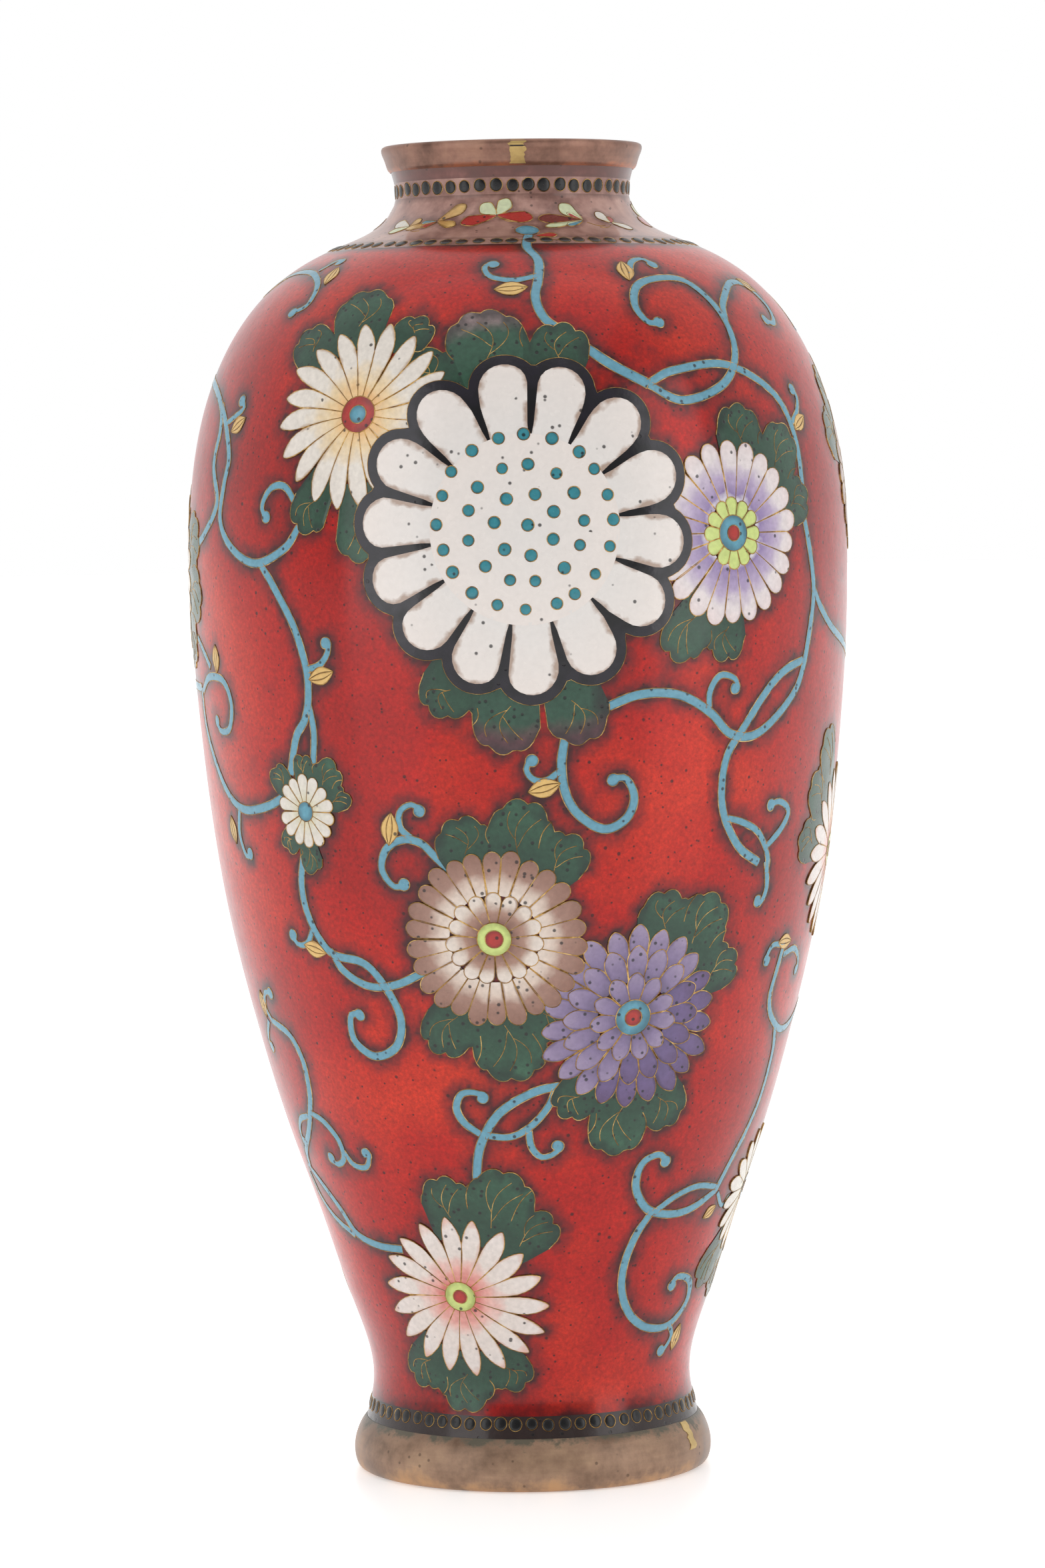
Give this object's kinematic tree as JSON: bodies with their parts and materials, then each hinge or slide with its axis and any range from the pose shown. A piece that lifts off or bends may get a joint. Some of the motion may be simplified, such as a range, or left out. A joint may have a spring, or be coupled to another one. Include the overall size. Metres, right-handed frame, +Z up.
{
  "type": "cloisonne vase",
  "caption": "Baluster vase with a narrow flared neck: coloured enamel flowers, leaves and scrolling vines set in wires on a red ground over a copper body, with metal bands at lip and foot",
  "frame": {"origin": "middle of the face that the foot rests on", "axes": "+Z up along the axis of the body, -Y towards the front with the great daisy, +X to the right"},
  "size_m": [0.0914, 0.0914, 0.184],
  "materials": {
    "copper": "spun copper, dull",
    "band_metal": "brown patinated copper band, satin",
    "solder": "yellow solder, bright",
    "black_enamel": "gloss",
    "neck_enamel": "gloss",
    "counter_enamel": "semi-gloss",
    "red_enamel": "gloss, mottled",
    "green_enamel": "gloss",
    "blue_enamel": "gloss",
    "purple_enamel": "gloss",
    "lilac_enamel": "gloss",
    "tan_enamel": "gloss",
    "white_enamel": "gloss"
  },
  "bodies": {
    "root": {"back_brown_mum": "tan_enamel", "back_brown_mum_leaf_bottom": "green_enamel", "back_cream_mum": "white_enamel", "back_great_mum": "purple_enamel", "back_great_mum_leaf_bottom": "green_enamel", "back_great_mum_leaf_top": "green_enamel", "base_enamel": "counter_enamel", "base_plate": "copper", "brown_mum": "tan_enamel", "brown_mum_leaf_bottom": "green_enamel", "brown_mum_leaf_top": "green_enamel", "copper_core": "copper", "cream_mum": "white_enamel", "cream_mum_leaf_bottom": "green_enamel", "cream_mum_leaf_top": "green_enamel", "foot_bead_row": "black_enamel", "foot_ring": "band_metal", "great_daisy_leaf_bottom": "green_enamel", "great_daisy_leaf_top": "green_enamel", "great_daisy_outline": "black_enamel", "great_daisy_petals": "white_enamel", "ground_enamel": "red_enamel", "left_mum": "lilac_enamel", "left_mum_leaf_side": "green_enamel", "lilac_mum": "lilac_enamel", "lilac_mum_leaf_bottom": "green_enamel", "lilac_mum_leaf_top": "green_enamel", "lining_enamel": "counter_enamel", "lip_enamel": "neck_enamel", "low_right_mum": "white_enamel", "low_right_mum_leaf_bottom": "green_enamel", "neck_bead_row": "black_enamel", "neck_enamel": "neck_enamel", "pink_mum": "white_enamel", "pink_mum_leaf_bottom": "green_enamel", "pink_mum_leaf_top": "green_enamel", "purple_mum": "purple_enamel", "purple_mum_leaf_bottom": "green_enamel", "purple_mum_leaf_top": "green_enamel", "right_mum": "white_enamel", "right_mum_leaf_top": "green_enamel", "rim_band": "band_metal", "rim_seam": "solder", "shoulder_bead_row": "black_enamel", "small_daisy": "white_enamel", "small_daisy_leaf_bottom": "green_enamel", "small_daisy_leaf_top": "green_enamel", "vine_back_left": "blue_enamel", "vine_back_right": "blue_enamel", "vine_centre_left": "blue_enamel", "vine_far_left": "blue_enamel", "vine_left": "blue_enamel", "vine_left_stem": "blue_enamel", "vine_low_left": "blue_enamel", "vine_low_right": "blue_enamel", "vine_lower_left": "blue_enamel", "vine_lower_middle": "blue_enamel", "vine_middle": "blue_enamel", "vine_right": "blue_enamel", "vine_upper_right": "blue_enamel"}
  },
  "joints": []
}
